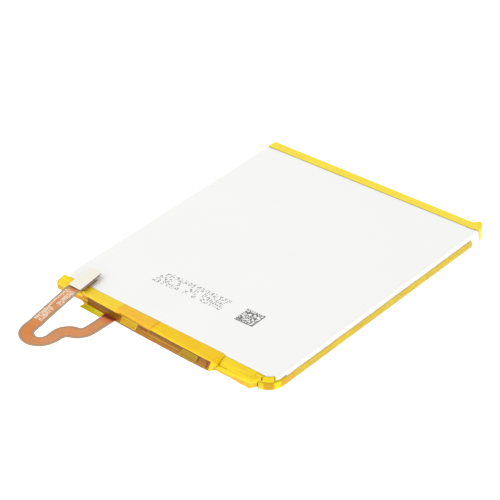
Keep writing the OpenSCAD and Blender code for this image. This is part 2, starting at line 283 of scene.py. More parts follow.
def ribbon_skin(name, core, edge, traces, root_shade_start):
    """Copper tracks under an amber cover film, with bare film along both edges, painted shade where the
    tail comes out from under the cover and a painted pink highlight just past that.
    """
    g = Graph(name)
    strip = g.strip_mm()
    split = g.add("SeparateXYZ", {"Vector": strip}).node
    along, across = split.outputs["X"], split.outputs["Y"]
    cloud = g.noise(g.strip_mm((0.3, 1, 1)), 0.9, 4)
    lines = g.math("SINE", g.math("MULTIPLY", across, traces * 2 * math.pi))
    colour = g.mix(g.ramp(cloud, 0.3, 0.7), shade(core, 0.93), shade(core, 1.07))
    colour = g.mix(g.ramp(lines, 0.2, 1.0, 0, 0.16), colour, shade(core, 0.7))
    colour = g.mix(g.band(along, 25, 32, 3.0), colour, paint(224, 134, 58))
    rim = g.add("Attribute", attribute_name="rim", out=2)
    colour = g.mix(g.ramp(rim, 0.5, 0.75, 0.85, 0.0), colour, shade(edge, 0.6))
    colour = g.mix(g.ramp(rim, 0.4, 0.52, 0.95, 0.0), colour, edge)
    # Painted light at the root: painted shadow where the tail comes out from under the cover, then a
    # painted pink highlight just past it
    painted_root_highlight = g.ramp(along, root_shade_start + 0.4, root_shade_start + 2.6, 0.6, 0.0)
    colour = g.mix(painted_root_highlight, colour, paint(232, 112, 90))
    painted_root_shadow = g.ramp(along, root_shade_start - 0.3, root_shade_start + 0.7, 0.95, 0.0)
    colour = g.mix(painted_root_shadow, colour, paint(128, 52, 10))
    ridge = g.math("MULTIPLY", lines, g.ramp(rim, 0.25, 0.45))
    normal = g.bump(ridge, 0.012, 0.6, g.bump(g.noise(strip, 7, 3), 0.004, 0.5))
    return g.set(Base_Color=colour, Normal=normal, Coat_Weight=0.3, Coat_Roughness=0.2,
                 Roughness=g.ramp(cloud, 0.3, 0.7, 0.32, 0.45))


# ---------------- frames and paths
def planar(x, y, degrees):
    """A frame on the floor that takes local (u, v, z) in millimetres to a point in metres."""
    turn = Matrix.Rotation(math.radians(degrees), 3, "Z")
    base = Vector((x, y, 0))
    return lambda u, v, z: (base + turn @ Vector((u, v, z))) * MM


LEFT_X, RIGHT_X = -32.62, 32
EDGE = planar(0, -39.6, -2.06)
LEFT_SIDE = planar(LEFT_X, 0, -90)
RIGHT_SIDE = planar(RIGHT_X, 0, 90)
COVER = planar(-4.64, -40.47, -4)
HEAD = planar(-25.45, -40.7, 6.5)


def rounded(bends, radius):
    """A bent path with a short curve at each bend."""
    bends = [Vector(b) for b in bends]
    out = [bends[0]]
    for before, bend, after in zip(bends, bends[1:], bends[2:]):
        back, on = before - bend, after - bend
        start = bend + back.normalized() * min(radius, back.length / 2)
        end = bend + on.normalized() * min(radius, on.length / 2)
        for k in range(5):
            t = k / 4
            out.append(start * (1 - t) ** 2 + bend * 2 * t * (1 - t) + end * t ** 2)
    return out + [bends[-1]]


def lengths(path):
    """The distance of each point from the start of the path."""
    out = [0.0]
    for a, b in zip(path, path[1:]):
        out.append(out[-1] + (b - a).length)
    return out


def at_distance(path, far, distance):
    """The point of a path at a distance, and the unit direction there."""
    k = 0
    while k < len(far) - 2 and far[k + 1] < distance:
        k += 1
    step = max(far[k + 1] - far[k], 1e-9)
    direction = (path[k + 1] - path[k]).normalized()
    return path[k].lerp(path[k + 1], (distance - far[k]) / step), direction


def outline(corners, step, turn_step=9):
    """Points and outward directions round a convex shape, from its sharp corners (x, y, radius)
    taken anticlockwise."""
    out = []
    for k, (x, y, radius) in enumerate(corners):
        before, corner, after = corners[k - 1], Vector((x, y)), corners[(k + 1) % len(corners)]
        arrive = (corner - Vector(before[:2])).normalized()
        leave = (Vector(after[:2]) - corner).normalized()
        turn = arrive.angle(leave)
        start = corner - arrive * radius * math.tan(turn / 2)
        first = Vector((arrive.y, -arrive.x))
        centre = start - first * radius
        if out:
            last = out[-1][0]
            count = max(1, round((start - last).length / step))
            out += [(last.lerp(start, i / count), first) for i in range(1, count)]
        steps = max(2, round(math.degrees(turn) / turn_step))
        for i in range(steps + 1):
            normal = Matrix.Rotation(turn * i / steps, 2) @ first
            out.append((centre + normal * radius, normal))
    last, start = out[-1][0], out[0][0]
    count = max(1, round((start - last).length / step))
    return out + [(last.lerp(start, i / count), out[0][1]) for i in range(1, count)]


def between(value, table):
    """Straight lines between the (place, amount) pairs of a table."""
    if value <= table[0][0]:
        return table[0][1]
    for (a, low), (b, high) in zip(table, table[1:]):
        if value <= b:
            return low + (high - low) * (value - a) / (b - a)
    return table[-1][1]


def clamp(value):
    return min(1, max(0, value))


def wave(x, y, seed, scale):
    """Smooth noise from -1 to 1 over a sheet, x and y in millimetres."""
    return noise.noise(Vector((x * scale, y * scale, seed * 7.3)))


# ---------------- thin closed sheets
TAPE_T = 0.07


def new_piece(name, mesh, body, replaces=()):
    piece = bpy.data.objects.new(name, mesh)
    bpy.context.scene.collection.objects.link(piece)
    if body:
        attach(piece, body)
    if replaces:
        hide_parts(*replaces)
    return piece


def grid_mesh(name, lines, skin):
    """A closed sheet from lines of spots. A spot is its point on the outer face, its point on the
    inner face, its place along and across the strip, and its distance from the nearest cut edge."""
    rows, cols = len(lines), len(lines[0])
    outer, inner, strip, rim = zip(*(spot for line in lines for spot in line))
    back = rows * cols
    faces = []
    for i in range(rows - 1):
        for j in range(cols - 1):
            quad = (i * cols + j, i * cols + j + 1, (i + 1) * cols + j + 1, (i + 1) * cols + j)
            faces.append(quad)
            faces.append(tuple(back + q for q in reversed(quad)))
    round_edge = list(range(cols))
    round_edge += [i * cols + cols - 1 for i in range(1, rows)]
    round_edge += [(rows - 1) * cols + j for j in range(cols - 2, -1, -1)]
    round_edge += [i * cols for i in range(rows - 2, 0, -1)]
    first_rim = len(faces)
    for a, b in zip(round_edge, round_edge[1:] + round_edge[:1]):
        faces.append((b, a, back + a, back + b))
    mesh = bpy.data.meshes.new(name)
    mesh.from_pydata(outer + inner, [], faces)
    layer = mesh.uv_layers.new(name="strip")
    for loop in mesh.loops:
        layer.data[loop.index].uv = strip[loop.vertex_index % back]
    edge = mesh.attributes.new("rim", "FLOAT", "POINT")
    edge.data.foreach_set("value", rim * 2)
    for polygon in mesh.polygons:
        polygon.use_smooth = polygon.index < first_rim
    mesh.materials.append(skin)
    mesh.validate()
    return mesh


def tape_mesh(name, place, ends, bends, crease, skin, thickness=TAPE_T, radius=0.12, bump=None,
              step=0.2, fine=0.13, close=(None, None)):
    """A tape folded over an edge. bends(u) gives the bends of its outer face as (v, z), crease is
    the number of the bend that its width is measured from, and ends(t) gives where it starts and
    stops at the share t of its width. close has for each end None for a plain cut, or a function
    of t and the point that gives how far the folded end reaches on and the (v, z) it folds to."""
    first, last = ends(0.5)
    width = lengths([Vector(b) for b in bends((first + last) / 2)])[-1]
    long = max(2, round(abs(last - first) / step))
    wide = max(2, round(width / fine))
    shrink = (0.86, 0.62, 0.36, 0.1)
    stations = [(i / long, 1.0) for i in range(long + 1)]
    if close[0]:
        stations = [(0.0, c) for c in reversed(shrink)] + stations
    if close[1]:
        stations += [(1.0, c) for c in shrink]
    lines = []
    for share, size in stations:
        nominal = first + (last - first) * share
        points = bends(nominal)
        before_crease = lengths([Vector(b) for b in points[:crease + 1]])[-1]
        path = rounded(points, radius)
        far = lengths(path)
        line = []
        for j in range(wide + 1):
            t = j / wide
            u0, u1 = ends(t)
            u = u0 + (u1 - u0) * share
            spot, direction = at_distance(path, far, far[-1] * t)
            normal = Vector((direction.y, -direction.x))
            w = far[-1] * t - before_crease
            lift = bump(u, w) if bump else 0.0
            top = spot + normal * lift
            low = top - normal * thickness
            along, cap = 0.0, 0.0
            if size < 1:
                reach, gather = (close[0] if share == 0 else close[1])(t, top)
                gather = Vector(gather)
                top, low = gather.lerp(top, size), gather.lerp(low, size)
                cap = -1 if share == 0 else 1
                along = cap * reach * (1 - size)
            starts = 9.0 if close[0] else u - u0
            stops = 9.0 if close[1] else u1 - u
            line.append((place(u + along, top.x, top.y),
                         place(u + along - cap * thickness, low.x, low.y),
                         (nominal + cap * (1.2 - size), w),
                         min(starts, stops, far[-1] * t, far[-1] * (1 - t))))
        lines.append(line)
    return grid_mesh(name, lines, skin)


def lay_tape(name, slot, replaces, *shape, **settings):
    """Makes a tape that rides on the pack."""
    new_piece(name, tape_mesh(name, *shape, **settings), "pack", replaces)


def folded_in(t, spot):
    """A closed end: the tape's end gathers to the middle of its section."""
    return 0.12, (1.4, 1.5)


# ---------------- flexible tail
FLEX_W = 3.6
FLEX_T = 0.14
ROUTE = [
    (-15.2, -37.8, 0.82), (-15.2, -40.8, 0.85), (-15.1, -44.3, 0.95), (-15.1, -47.0, 1.05),
    (-15.4, -48.7, 1.1), (-16.5, -49.9, 1.1), (-18.0, -50.5, 1.15), (-19.1, -51.7, 1.2),
    (-19.5, -53.2, 1.2), (-19.5, -55.4, 1.25), (-20.0, -57.2, 1.3), (-21.2, -58.4, 1.35),
    (-22.8, -58.8, 1.4), (-24.4, -58.2, 1.5), (-25.5, -57.0, 1.55), (-26.0, -55.3, 1.6),
    (-26.0, -53.5, 1.8), (-26.0, -51.6, 2.2), (-25.9, -49.6, 2.7), (-25.8, -47.6, 3.2),
    (-25.7, -45.6, 3.7), (-25.6, -43.6, 4.2), (-25.6, -42.2, 4.5), (-25.6, -41.0, 4.62),
    (-25.7, -39.8, 4.62), (-26.4, -33.2, 4.62),
]
# The route point where the tail's two meshes meet, and the steps between two route points
SPLIT = 15
PER_SPAN = 8


def through(points, per_span):
    """A smooth curve through the points, with per_span steps between each two."""
    points = [Vector(p) for p in points]
    ends = [points[0] * 2 - points[1], *points, points[-1] * 2 - points[-2]]
    out = []
    for a, b, c, d in zip(ends, ends[1:], ends[2:], ends[3:]):
        for k in range(per_span):
            t = k / per_span
            out.append(0.5 * (2 * b + (c - a) * t + (2 * a - 5 * b + 4 * c - d) * t ** 2
                              + (3 * b - a - 3 * c + d) * t ** 3))
    return out + [points[-1]]


CENTRE = through(ROUTE, PER_SPAN)
CENTRE_FAR = lengths(CENTRE)


def ribbon_axes(k):
    """The ribbon's direction across itself and its upward normal at point k of its centreline."""
    along = (CENTRE[min(k + 1, len(CENTRE) - 1)] - CENTRE[max(k - 1, 0)]).normalized()
    across = Vector((-along.y, along.x, 0)).normalized()
    return across, along.cross(across)


def ribbon_width(distance):
    """The tail is a little wider at its first bend and on the leg that goes back."""
    first_bend = math.exp(-((distance - 14.5) / 3.2) ** 2)
    return FLEX_W + 0.25 * clamp((distance - 24) / 6) + 0.85 * first_bend


def on_ribbon(distance, across, height=0.0):
    """A point above the ribbon's top face in metres, from its place along and across."""
    k = 0
    while k < len(CENTRE) - 2 and CENTRE_FAR[k + 1] < distance:
        k += 1
    share = (distance - CENTRE_FAR[k]) / (CENTRE_FAR[k + 1] - CENTRE_FAR[k])
    side, up = ribbon_axes(k)
    side_on, up_on = ribbon_axes(k + 1)
    side, up = side.lerp(side_on, share), up.lerp(up_on, share)
    centre = CENTRE[k].lerp(CENTRE[k + 1], share)
    return (centre + side * across + up * (FLEX_T / 2 + height)) * MM


def ribbon_mesh(name, first, last, skin):
    """The ribbon between two points of its centreline, a little thinner along its edges."""
    cols = 24
    lines = []
    for k in range(first, last + 1):
        side, up = ribbon_axes(k)
        half = ribbon_width(CENTRE_FAR[k]) / 2
        line = []
        for j in range(cols + 1):
            c = half * (1 - 2 * j / cols)
            rim = half - abs(c)
            thin = FLEX_T / 2 * (0.72 + 0.28 * min(1, rim / 0.35))
            line.append(((CENTRE[k] + side * c + up * thin) * MM,
                         (CENTRE[k] + side * c - up * thin) * MM, (CENTRE_FAR[k], c), rim))
        lines.append(line)
    return grid_mesh(name, lines, skin)


def walls(bm, low, high):
    """Adds the faces between two loops of vertices."""
    for i in range(len(low)):
        j = (i + 1) % len(low)
        bm.faces.new((low[i], low[j], high[j], high[i]))


def closed_mesh(name, bm, *skins):
    """Turns a bmesh into a mesh with its faces outward."""
    bmesh.ops.recalc_face_normals(bm, faces=bm.faces)
    mesh = bpy.data.meshes.new(name)
    bm.to_mesh(mesh)
    bm.free()
    for skin in skins:
        mesh.materials.append(skin)
    return mesh


def slabs_mesh(name, pairs, skin):
    """Closed boxes or prisms, each between two loops of points."""
    bm = bmesh.new()
    for low, high in pairs:
        low, high = [bm.verts.new(p) for p in low], [bm.verts.new(p) for p in high]
        bm.faces.new(list(reversed(low)))
        bm.faces.new(high)
        walls(bm, low, high)
    return closed_mesh(name, bm, skin)


def ribbon_marks():
    """Small pale marks printed on the leg that goes back to the connector: a row of squares near
    one edge and three blocks of finer marks."""
    rng = random.Random(11)
    pairs = []

    def mark(s, c, long, wide):
        corners = [(s, c - wide / 2), (s + long, c - wide / 2), (s + long, c + wide / 2), (s, c + wide / 2)]
        pairs.append(([on_ribbon(*corner, -0.01) for corner in corners],
                      [on_ribbon(*corner, 0.012) for corner in corners]))

    for k in range(20):
        mark(32.9 + 0.55 * k, 1.12 + rng.uniform(-0.1, 0.1), rng.uniform(0.3, 0.4), rng.uniform(0.4, 0.6))
    for s0, s1, c0, c1 in ((33.0, 37.8, -0.95, 0.75), (38.9, 43.8, -1.45, 0.1), (41.9, 44.0, 0.3, 0.95)):
        rows, columns = round((s1 - s0) / 0.36), round((c1 - c0) / 0.26)
        for i in range(rows):
            for j in range(columns):
                if rng.random() < 0.84:
                    mark(s0 + 0.36 * i + rng.uniform(-0.05, 0.05), c0 + 0.26 * (j + 0.5),
                         rng.uniform(0.2, 0.34), rng.uniform(0.13, 0.24))
    return pairs


def make_tail():
    core = paint(222, 148, 90)
    edge = paint(182, 158, 134)
    skin = ribbon_skin("tail_film", core, edge, 2.2, CENTRE_FAR[8] + 0.1)
    split = SPLIT * PER_SPAN
    root = new_piece("tail_root_leg", ribbon_mesh("tail_root_leg", 0, split, skin), "pack",
                     ["flex_tail"])
    back = new_piece("tail_return_leg", ribbon_mesh("tail_return_leg", split, len(CENTRE) - 1, skin),
                     None, ["flex_tail"])
    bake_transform(back)
    ink = two_tone("tail_marks", paint(255, 246, 212), paint(244, 226, 218), 2.2)
    marks = new_piece("tail_marks", slabs_mesh("tail_marks", ribbon_marks(), ink), None)
    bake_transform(marks)
    return root, back, marks


# ---------------- pouch
CELL_T = 3.6
FILM_T = 0.12
SHOULDER_R = 0.8
TOP_RINGS = 46
FAR_R = 1.4
# Sharp corners of the drawn cup and their radii, from the near left one anticlockwise
CORNERS = [(-32.4, -36.4, 3.0), (31.62, -39.08, 2.7), (31.62, 41.99, FAR_R),
           (-32.25, 42.3, 0.85)]
MIDDLE = Vector((0, 1.7))
# Where the top sinks a little towards the corners
LOW_CORNERS = [Vector(spot) for spot in ((30.4, 40.6), (-30.4, 40.6), (30.4, -37.6), (-30.4, -35.2))]


def pouch_height(x, y):
    """The height of the top of the pouch over its full height, in millimetres, so never above 0."""
    soft = 0.018 * (wave(x, y, 1, 0.05) - 0.6) + 0.012 * (wave(x, y, 2, 0.16) - 0.6)
    corner = min((Vector((x, y)) - c).length for c in LOW_CORNERS)
    return min(0.0, soft) - 0.16 * math.exp(-(corner / 1.7) ** 2)


def pouch_mesh(skin):
    """The drawn upper film: a wall and a rounded shoulder all round, then a nearly flat top."""
    section = [(0, z) for z in (0.22, 0.6, 1.1, 1.7, 2.3, CELL_T - SHOULDER_R)]
    for a in range(10, 91, 10):
        turn = math.radians(a)
        section.append((SHOULDER_R * (1 - math.cos(turn)), CELL_T - SHOULDER_R * (1 - math.sin(turn))))
    shape = outline(CORNERS, 0.7)
    rings = [[(*(p - n * inset), z) for p, n in shape] for inset, z in section]
    edge = [Vector(p[:2]) for p in rings[-1]]
    for k in range(1, TOP_RINGS + 1):
        rings.append([(*p.lerp(MIDDLE, 0.995 * k / TOP_RINGS), CELL_T) for p in edge])
    bm = bmesh.new()
    loops = []
    for ring in rings:
        loop = []
        for x, y, z in ring:
            dent = pouch_height(x, y) * clamp((z - 1.2) / 1.6)
            wall = 0.03 * wave(x + y, z * 2, 3, 0.3) * clamp((3.2 - z) / 1.2)
            out = Vector((x, y, 0)).normalized() * wall
            loop.append(bm.verts.new(Vector((x + out.x, y + out.y, z + dent)) * MM))
        loops.append(loop)
    for low, high in zip(loops, loops[1:]):
        walls(bm, low, high)
    bm.faces.new(loops[-1])
    for facet in bm.faces:
        facet.smooth = True
    return closed_mesh("pouch_top", bm, skin)


def make_pouch():
    skin = film_skin("film_white", paint(244, 245, 242, TOP_LEVEL), 0.45)
    pouch = new_piece("pouch_top", pouch_mesh(skin), "pack", ["pouch_upper_film"])
    shell = pouch.modifiers.new("film", "SOLIDIFY")
    shell.thickness = FILM_T * MM
    shell.offset = -1
    for side, place, ends in (("right", RIGHT_SIDE, (-34.8, 37.9)), ("left", LEFT_SIDE, (-37.9, 32.3))):
        lay_tape(f"side_seal_{side}", "pouch_film_white", (), place, lambda t: ends,
                 lambda u: [(0.42, 2.9), (0.14, 2.36), (0.13, 0.28), (0.5, 0.28)],
                 1, skin, thickness=0.1, step=0.5, fine=0.2,
                 bump=lambda u, w: 0.02 * wave(u, w, 6, 0.5))


# ---------------- printed marks
def dot(x, y, size, sides=6):
    """A flat ink dot on the pouch as two loops of points."""
    def loop(height):
        return [Vector((x + size * math.cos(2 * math.pi * k / sides),
                        y + size * math.sin(2 * math.pi * k / sides),
                        CELL_T + pouch_height(x, y) + height)) * MM for k in range(sides)]
    return loop(-0.004), loop(0.006)


def mark_rows():
    """Three rows of dot-matrix marks that spell nothing: 7 of the 3 by 5 dots of each are inked."""
    rng = random.Random(4)
    rows = [(-20.9, -13.6, "x" * 15), (-22.6, -14.4, "xxx x  xx xxxxx"), (-24.2, -15.0, "xxxxxx x x xxxxx")]
    pairs = []
    for y, x, places in rows:
        for shown in places:
            if shown == "x":
                cells = [(i, j) for i in range(3) for j in range(5)]
                for i, j in rng.sample(cells, 7):
                    pairs.append(dot(x + 0.32 * i, y - 0.3 * j + 0.02 * rng.uniform(-1, 1), 0.14))
            x += 1.28
    return pairs


def mark_square():
    """A square of random cells with a closed border on two sides."""
    rng = random.Random(9)
    cells, width, corner = 16, 5.2, (9.8, -26.1)
    size = width / cells
    pairs = []
    for i in range(cells):
        for j in range(cells):
            border = j == 0 or i == cells - 1 or (i % 2 == 0 and j == cells - 1) or (j % 2 == 0 and i == 0)
            if border or (0 < i < cells - 1 and 0 < j < cells - 1 and rng.random() < 0.52):
                x, y = corner[0] + size * (i + 0.5), corner[1] + size * (j + 0.5)
                pairs.append(dot(x, y, size * 0.68, 4))
    return pairs


def make_marks():
    ink = material("print_ink", paint(84, 84, 87), 0.6, mottle=(3, 0.12))
    new_piece("print_marks", slabs_mesh("print_marks", mark_rows() + mark_square(), ink), "pack")


# ---------------- tapes on the long sides
def make_side_tapes():
    golden, olive = paint(230, 202, 40), paint(200, 170, 36)
    patches = [(-90, 90, 2.0, 2.75, 0.12, 0.8, paint(176, 148, 50)),
               (69.5, 73.5, 0.1, 2.1, 0.8, 0.7, paint(232, 168, 44)),
               (73.5, 75.1, 0.0, 2.6, 0.3, 0.85, paint(255, 232, 56)),
               (75.3, 77.5, 0.0, 2.6, 0.2, 0.8, paint(214, 158, 34)),
               (77.6, 80, 0.0, 2.6, 0.1, 0.85, paint(232, 214, 70))]
    skin = tape_skin("tape_golden", golden, olive, paint(214, 186, 70), streak=0.9, patches=patches,
                     gloss=0.16)
    turn, radius, start = Vector((27.6, -35.9)), 4.4, 36.6
    straight = start - turn.y

    def right(u, v, z):
        """u runs from the far end down the side and round the front corner."""
        if u <= straight:
            return Vector((RIGHT_X - v, start - u, z)) * MM
        angle = -(u - straight) / radius
        reach = radius - v
        return Vector((turn.x + reach * math.cos(angle), turn.y + reach * math.sin(angle), z)) * MM

    def bends(u):
        top = 2.35 + 0.05 * wave(u, 1, 8, 0.35)
        return [(0.06, top), (0, top - 0.15), (0, 0.6), (0.14, 0.25), (0.6, 0), (3.5, 0)]

    def corner_bends(u):
        """Round the front corner the band's top edge leans in onto the pouch."""
        lip = between(u, [(71, 0.06), (73, 0.5), (75.5, 0.8)])
        rise = between(u, [(71, 0.03), (73.5, 0.35), (79, 0.5)])
        points = bends(u)
        return [(lip, points[0][1] + rise), points[1], *points[2:]]

    def round_end(t):
        return 1.5 * (2 * min(t, 0.5) - 0.55) ** 2

    lay_tape("side_band_right", "tape_gold", ["side_tape_right"], right,
             lambda t: (round_end(t), straight + 6.45), corner_bends, 1, skin, radius=0.4, step=0.35,
             bump=lambda u, w: 0.035 * wave(u, w, 9, 0.9) * max(0, 1 - w / 3))
    lay_tape("side_band_left", "tape_gold", ["side_tape_left"], LEFT_SIDE,
             lambda t: (-36.1 + round_end(t), 32.4), bends, 0, skin, radius=0.4, step=0.35,
             bump=lambda u, w: 0.03 * wave(u, w, 10, 0.9) * max(0, 1 - w / 3))


# ---------------- tape over the far end
def far_fold(point):
    """How far the small fold by the far right corner moves a point of the far tape."""
    aside = point.x - (29.9 + 0.9 * clamp((3.7 - point.z) / 0.9))
    share = math.exp(-(aside / (0.9 if aside < 0 else 0.35)) ** 2)
    share *= math.exp(-((point.z - 3.4) / 1.1) ** 2) * clamp((point.y - 40.6) / 1.2)
    return Vector((0.12, 0.75, 0.5)) * share


def far_section(spot, out, lift, top_edge):
    """Points and normals of the far tape where it goes over the edge at a spot, from its cut edge
    on top, over the shoulder, down the wall and under the pouch."""
    top_z, bend = CELL_T + lift, SHOULDER_R + lift
    shelf = spot - out * bend
    section = [(Vector((shelf.x, top_edge + (shelf.y - top_edge) * k / 8, top_z)), Vector((0, 0, 1)))
               for k in range(9)]
    for k in range(1, 9):
        a = math.radians(90 * k / 8)
        normal = Vector((out.x * math.sin(a), out.y * math.sin(a), math.cos(a)))
        section.append((Vector((shelf.x, shelf.y, top_z - bend)) + normal * bend, normal))
    for z in (2.4, 2.0, 1.6, 1.2, 0.8, 0.45):
        section.append((Vector((spot.x, spot.y, z)), Vector((out.x, out.y, 0))))
    turned_in = spot - out * 0.12
    section.append((Vector((*turned_in, 0.12)), Vector((out.x, out.y, -1)).normalized()))
    foot = spot - out * 0.4
    for k in range(7):
        y = foot.y + (max(top_edge, foot.y - 3) - foot.y) * k / 6
        section.append((Vector((foot.x, y, 0)), Vector((0, 0, -1))))
    return section


def make_far_tape():
    """One tape laid over the far edge and round both far corners."""
    olive = paint(196, 176, 70)
    skin = tape_skin("tape_far", paint(250, 228, 86, TOP_LEVEL), paint(246, 218, 70, TOP_LEVEL), olive,
                     streak=0.6, rim_mm=0.2, patches=[(-5, 200, 4.9, 5.6, 0.15, 0.5, olive)])
    lift, top_edge, leg = 0.11, 38.85, 39.1
    (right_x, right_y, _), (left_x, left_y, left_r) = CORNERS[2:]
    turn_y, right_x, left_x = right_y - FAR_R, right_x + lift, left_x - lift
    corners = [(right_x, leg - 9, 0.01), (right_x, right_y + lift, FAR_R + lift),
               (left_x, left_y + lift, left_r + lift), (left_x, leg - 9, 0.01)]
    leg_y = [leg + (turn_y - leg) * k / 5 for k in range(5)]
    shape = [(Vector((right_x, y)), Vector((1, 0))) for y in leg_y]
    shape += [(p, n) for p, n in outline(corners, 0.35, 4.5) if p.y >= turn_y - 0.01 and n.y > -0.01]
    shape += [(Vector((left_x, y)), Vector((-1, 0))) for y in reversed(leg_y)]
    along = lengths([p for p, _ in shape])
    cut_y = [(0.2, 40.2), (1.8, 39.85), (3.3, 39.7), (CELL_T, leg)]
    lines = []
    for (spot, out), s in zip(shape, along):
        section = far_section(spot, out, lift, top_edge)
        widths = lengths([p for p, _ in section])
        line = []
        for (point, normal), w in zip(section, widths):
            move = 0.0 if point.z < 0.1 else 0.02 * wave(s, w, 12, 0.5)
            shown = point + normal * move + far_fold(point)
            if point.y < turn_y and 0.1 < point.z < CELL_T:
                first = between(point.z, cut_y)
                shown.y += (first - leg) * (turn_y - point.y) / (turn_y - leg)
            edge = min(w, widths[-1] - w, s + 0.02, along[-1] - s + 0.02)
            line.append((shown * MM, (shown - normal * TAPE_T) * MM, (s, w), edge))
        lines.append(line)
    new_piece("far_end_tape", grid_mesh("far_end_tape", lines, skin), "pack", ["far_tape"])


# ---------------- tapes over the front edge
RIM = paint(228, 196, 60)
BRIGHT, DEEP = paint(252, 228, 52), paint(243, 204, 32)


def make_left_tape():
    skin = tape_skin("tape_left", paint(255, 230, 62), paint(250, 208, 44), RIM, gloss=0.18,
                     patches=[(-33, -20, 0.7, 4, 0.25, 0.85, paint(205, 145, 42)),
                              (-33, -28.5, 0.2, 4, 0.3, 0.5, paint(205, 175, 50)),
                              (-35, -32.7, -1.2, 4, 0.1, 0.9, paint(190, 165, 50))])

    def bends(u):
        return [(2.15 + 0.08 * wave(u, 0, 20, 0.5), 3.46), (1.3, 3.3), (0.25, 2.75), (-0.1, 2.3),
                (-0.05, 0.6), (0.35, 0.02), (3.5, 0)]

    lay_tape("front_left_tape", "tape_bright", ["front_tape_left"], EDGE,
             lambda t: (-32.6 - 0.4 * min(1, t * 3), -24.2), bends, 3, skin, radius=0.25, step=0.25,
             close=(folded_in, None),
             bump=lambda u, w: 0.05 * wave(u, w, 21, 0.8) + 0.02 * wave(u, w * 3, 22, 1.5))


def make_right_tape():
    skin = tape_skin("tape_right", BRIGHT, DEEP, RIM, gloss=0.18,
                     patches=[(14, 31, 0.5, 4, 0.3, 0.85, paint(224, 186, 44)),
                              (18, 25, 0.7, 2.2, 0.6, 0.6, paint(232, 164, 34)),
                              (28, 31, -1.6, 4, 0.2, 0.9, paint(205, 145, 30)),
                              (28, 31, 0.4, 0.9, 0.15, 0.9, paint(120, 85, 25)),
                              (15.5, 19.4, -0.62, -0.46, 0.05, 0.8, paint(150, 125, 40))])

    def bends(u):
        crease = between(u, [(16, 1.5), (20, 1.5), (26, 2.4)])
        out = between(u, [(20, 0.6), (26.5, 1.0)])
        return [(1.75, 3.44), (0.9, 3.2), (0.3 - out, crease + 0.55), (-out, crease), (-out, 0.35),
                (0.3 - out, 0.02), (3.5, 0)]

    def corner_fold(t, spot):
        """The end reaches on to the corner band as a fold that goes back and down."""
        reach = between(t, [(0, 0.3), (0.25, 0.9), (0.5, 1.7), (1, 1.7)])
        return reach, (spot.x * 0.3 + 1.3, spot.y * 0.7 + 0.5)

    lay_tape("front_right_tape", "tape_bright", ["front_tape_right"], EDGE,
             lambda t: (15.75, 28.7 - 2.35 * min(1, t / 0.52)), bends, 3, skin, radius=0.25,
             close=(folded_in, corner_fold),
             bump=lambda u, w: 0.06 * wave(u, w, 23, 0.9) + 0.03 * wave(u * 2, w * 3, 24, 1.2))


def make_corner_strip():
    """The end of the right tape lies on over the shoulder of the front right corner."""
    skin = tape_skin("tape_corner", BRIGHT, DEEP, paint(190, 165, 50), rim_mm=0.2,
                     patches=[(4.6, 4.9, -2, 3, 0.08, 0.8, paint(130, 118, 40)),
                              # painted shade: the dark gap of the fold where the strip turns over the
                              # corner
                              (1.5, 1.9, -0.3, 0.5, 0.1, 0.9, paint(110, 74, 20))])
    line = [(27.2, -40.35), (28.9, -40.05), (30.3, -39.35), (31.3, -38.35), (31.85, -37.3)]
    spots = [Vector(p) for p in line]
    far = lengths(spots)

    def place(u, v, z):
        spot, along = at_distance(spots, far, min(max(u, 0.0), far[-1]))
        return Vector((spot.x - along.y * v, spot.y + along.x * v, z)) * MM

    def bends(u):
        low = between(u, [(0, 2.2), (2, 2.3), (far[-1], 2.25)])
        back = between(u, [(0, 1.2), (1.5, 0.7)])
        return [(back, 3.2 + 0.4 * back), (0.3, 3.1), (0.02, low)]

    lay_tape("front_corner_strip", "tape_bright", (), place, lambda t: (0.0, far[-1] - 0.8 - 0.2 * t),
             bends, 1, skin, radius=0.3, fine=0.1,
             bump=lambda u, w: 0.04 * wave(u, w, 26, 1.1))


COVER_RIM = paint(214, 172, 56)
BROWN = face_paint(178, 120, 36)
# Where the cover's upright face meets the floor, and how high its front crease runs
LOW_EDGE = [(-20, 0.0), (-8.9, -0.3), (-1.2, -0.4), (14.6, -0.3), (19.9, -0.08)]
CREASE_Z = [(-20, 2.75), (-8.6, 2.65), (-7.6, 3.3), (-2, 3.2), (3, 3.05), (10.6, 3.1), (20, 3.2)]


def face(u, z):
    """How far out the cover's upright face stands at a height."""
    top = between(u, CREASE_Z)
    return between(u, LOW_EDGE) * (top - z) / (top - 0.4)


